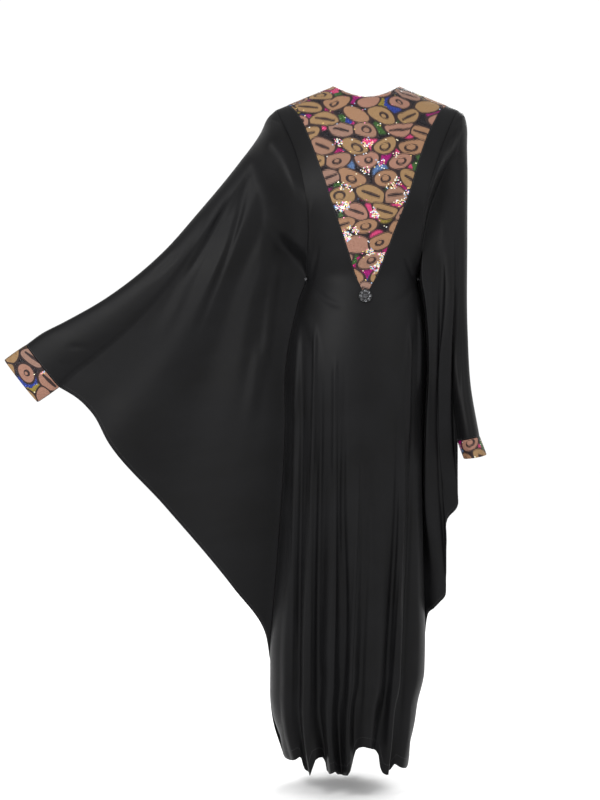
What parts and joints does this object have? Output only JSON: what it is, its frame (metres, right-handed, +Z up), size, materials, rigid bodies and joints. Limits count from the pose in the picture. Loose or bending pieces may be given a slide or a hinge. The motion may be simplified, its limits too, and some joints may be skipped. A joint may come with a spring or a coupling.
{
  "type": "kaftan",
  "caption": "Long black jersey kaftan with wide butterfly sleeves, the right raised and the left hanging, a deep V-shaped sequin yoke, sequin cuffs and a stone brooch at the V's point.",
  "frame": {"origin": "midway between the two neck points, at shoulder height, where the worn garment is held", "axes": "+Z up along the garment's length, +X to the wearer's left (the viewer's right), the front faces -Y"},
  "size_m": [1.0203, 0.2703, 1.4248],
  "materials": {
    "black_jersey": "soft matte jersey with a faint sheen",
    "sequin_cloth": "glossy flat sequins in tan, pink, blue, green and gold on black",
    "clear_stone": "faceted clear stone with a foiled back",
    "dark_stone": "polished dark stone",
    "silver_setting": "polished silver-coloured metal"
  },
  "bodies": {
    "root": {"front": "black_jersey", "back": "black_jersey", "right_wing": "black_jersey", "left_wing": "black_jersey", "yoke": "sequin_cloth", "right_cuff": "sequin_cloth", "left_cuff": "sequin_cloth", "brooch_setting": "silver_setting", "right_waist_setting": "silver_setting", "left_waist_setting": "silver_setting", "brooch_centre": "dark_stone", "brooch_stone_1": "clear_stone", "brooch_stone_2": "clear_stone", "brooch_stone_3": "clear_stone", "brooch_stone_4": "clear_stone", "brooch_stone_5": "clear_stone", "brooch_stone_6": "clear_stone", "brooch_stone_7": "clear_stone", "brooch_stone_8": "clear_stone", "right_waist_stone": "clear_stone", "left_waist_stone": "clear_stone"}
  },
  "joints": []
}
